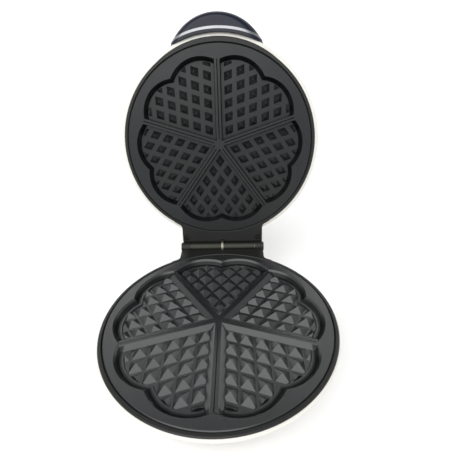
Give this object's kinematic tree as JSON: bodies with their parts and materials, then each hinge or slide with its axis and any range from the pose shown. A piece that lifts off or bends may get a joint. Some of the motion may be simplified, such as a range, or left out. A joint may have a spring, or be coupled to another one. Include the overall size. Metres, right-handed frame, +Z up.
{
  "type": "waffle maker",
  "caption": "Round waffle maker for joined hearts, stored open: white bowl base and domed lid, black rims, coated studded plates, tube hinge and hooded handle.",
  "frame": {"origin": "middle of the open object's footprint box, on the surface that its feet stand on", "axes": "+Z up, +Y from the front of the base towards the hinge, +X to the right seen from the front"},
  "size_m": [0.22, 0.3032, 0.2875],
  "materials": {
    "white_plastic": "smooth white moulded plastic with a low gloss",
    "black_plastic": "black heat-resistant moulding, satin",
    "cover_plastic": "black moulding with a fine grain",
    "coated_casting": "cast aluminium with a dark satin non-stick coat",
    "shield_steel": "bright aluminised sheet",
    "heater_steel": "heat-dulled steel sheath",
    "ceramic": "unglazed ceramic",
    "tab_metal": "plated terminal metal",
    "block_plastic": "natural terminal-block plastic",
    "lead_sleeve": "woven glass sleeve over the wires",
    "hinge_steel": "ground steel tube",
    "sleeve_metal": "dark coated steel tube, satin",
    "ring_metal": "bright steel collar",
    "gloss_black": "polished black plastic",
    "bright_trim": "bright plated strip",
    "board": "circuit board",
    "lamp_glass": "small lamp body",
    "red_lens": "clear-tinted red lens",
    "green_lens": "clear-tinted green lens",
    "foot_rubber": "soft black rubber",
    "screw_steel": "zinc-plated steel"
  },
  "bodies": {
    "base": {"base_shell": "white_plastic", "base_bezel": "black_plastic", "bottom_cover": "cover_plastic", "bottom_screws": "screw_steel", "lower_plate": "coated_casting", "lower_plate_screws": "screw_steel", "lower_heater": "heater_steel", "lower_heater_insulators": "ceramic", "lower_heater_tabs": "tab_metal", "lower_heat_shield": "shield_steel", "lower_shield_screws": "screw_steel", "thermostat": "ceramic", "thermal_fuse": "tab_metal", "fuse_clip": "shield_steel", "terminal_block": "block_plastic", "cord_bush": "foot_rubber", "base_lead": "lead_sleeve", "hinge_pin": "hinge_steel", "hinge_ring": "ring_metal", "hinge_cap_left": "black_plastic", "hinge_cap_right": "black_plastic", "foot_front_left": "foot_rubber", "foot_front_right": "foot_rubber", "foot_rear_left": "foot_rubber", "foot_rear_right": "foot_rubber"},
    "lid": {"lid_shell": "white_plastic", "lid_bezel": "black_plastic", "lid_neck_screws": "screw_steel", "upper_plate": "coated_casting", "upper_plate_screws": "screw_steel", "upper_heater": "heater_steel", "upper_heater_insulators": "ceramic", "upper_heater_tabs": "tab_metal", "upper_heat_shield": "shield_steel", "upper_shield_screws": "screw_steel", "hinge_sleeve_left": "sleeve_metal", "hinge_sleeve_right": "sleeve_metal", "handle_collar": "gloss_black", "handle_trim": "bright_trim", "handle_hood": "gloss_black", "handle_screws": "screw_steel", "lamp_board": "board", "power_lamp": "lamp_glass", "ready_lamp": "lamp_glass", "power_lens": "red_lens", "ready_lens": "green_lens", "lid_lead": "lead_sleeve"}
  },
  "joints": [
    {"name": "lid_hinge", "type": "hinge", "parent": "base", "child": "lid", "pos_m": [0, 0.0744, 0.0446], "axis": [1, 0, 0], "range_deg": [0, 102]}
  ]
}
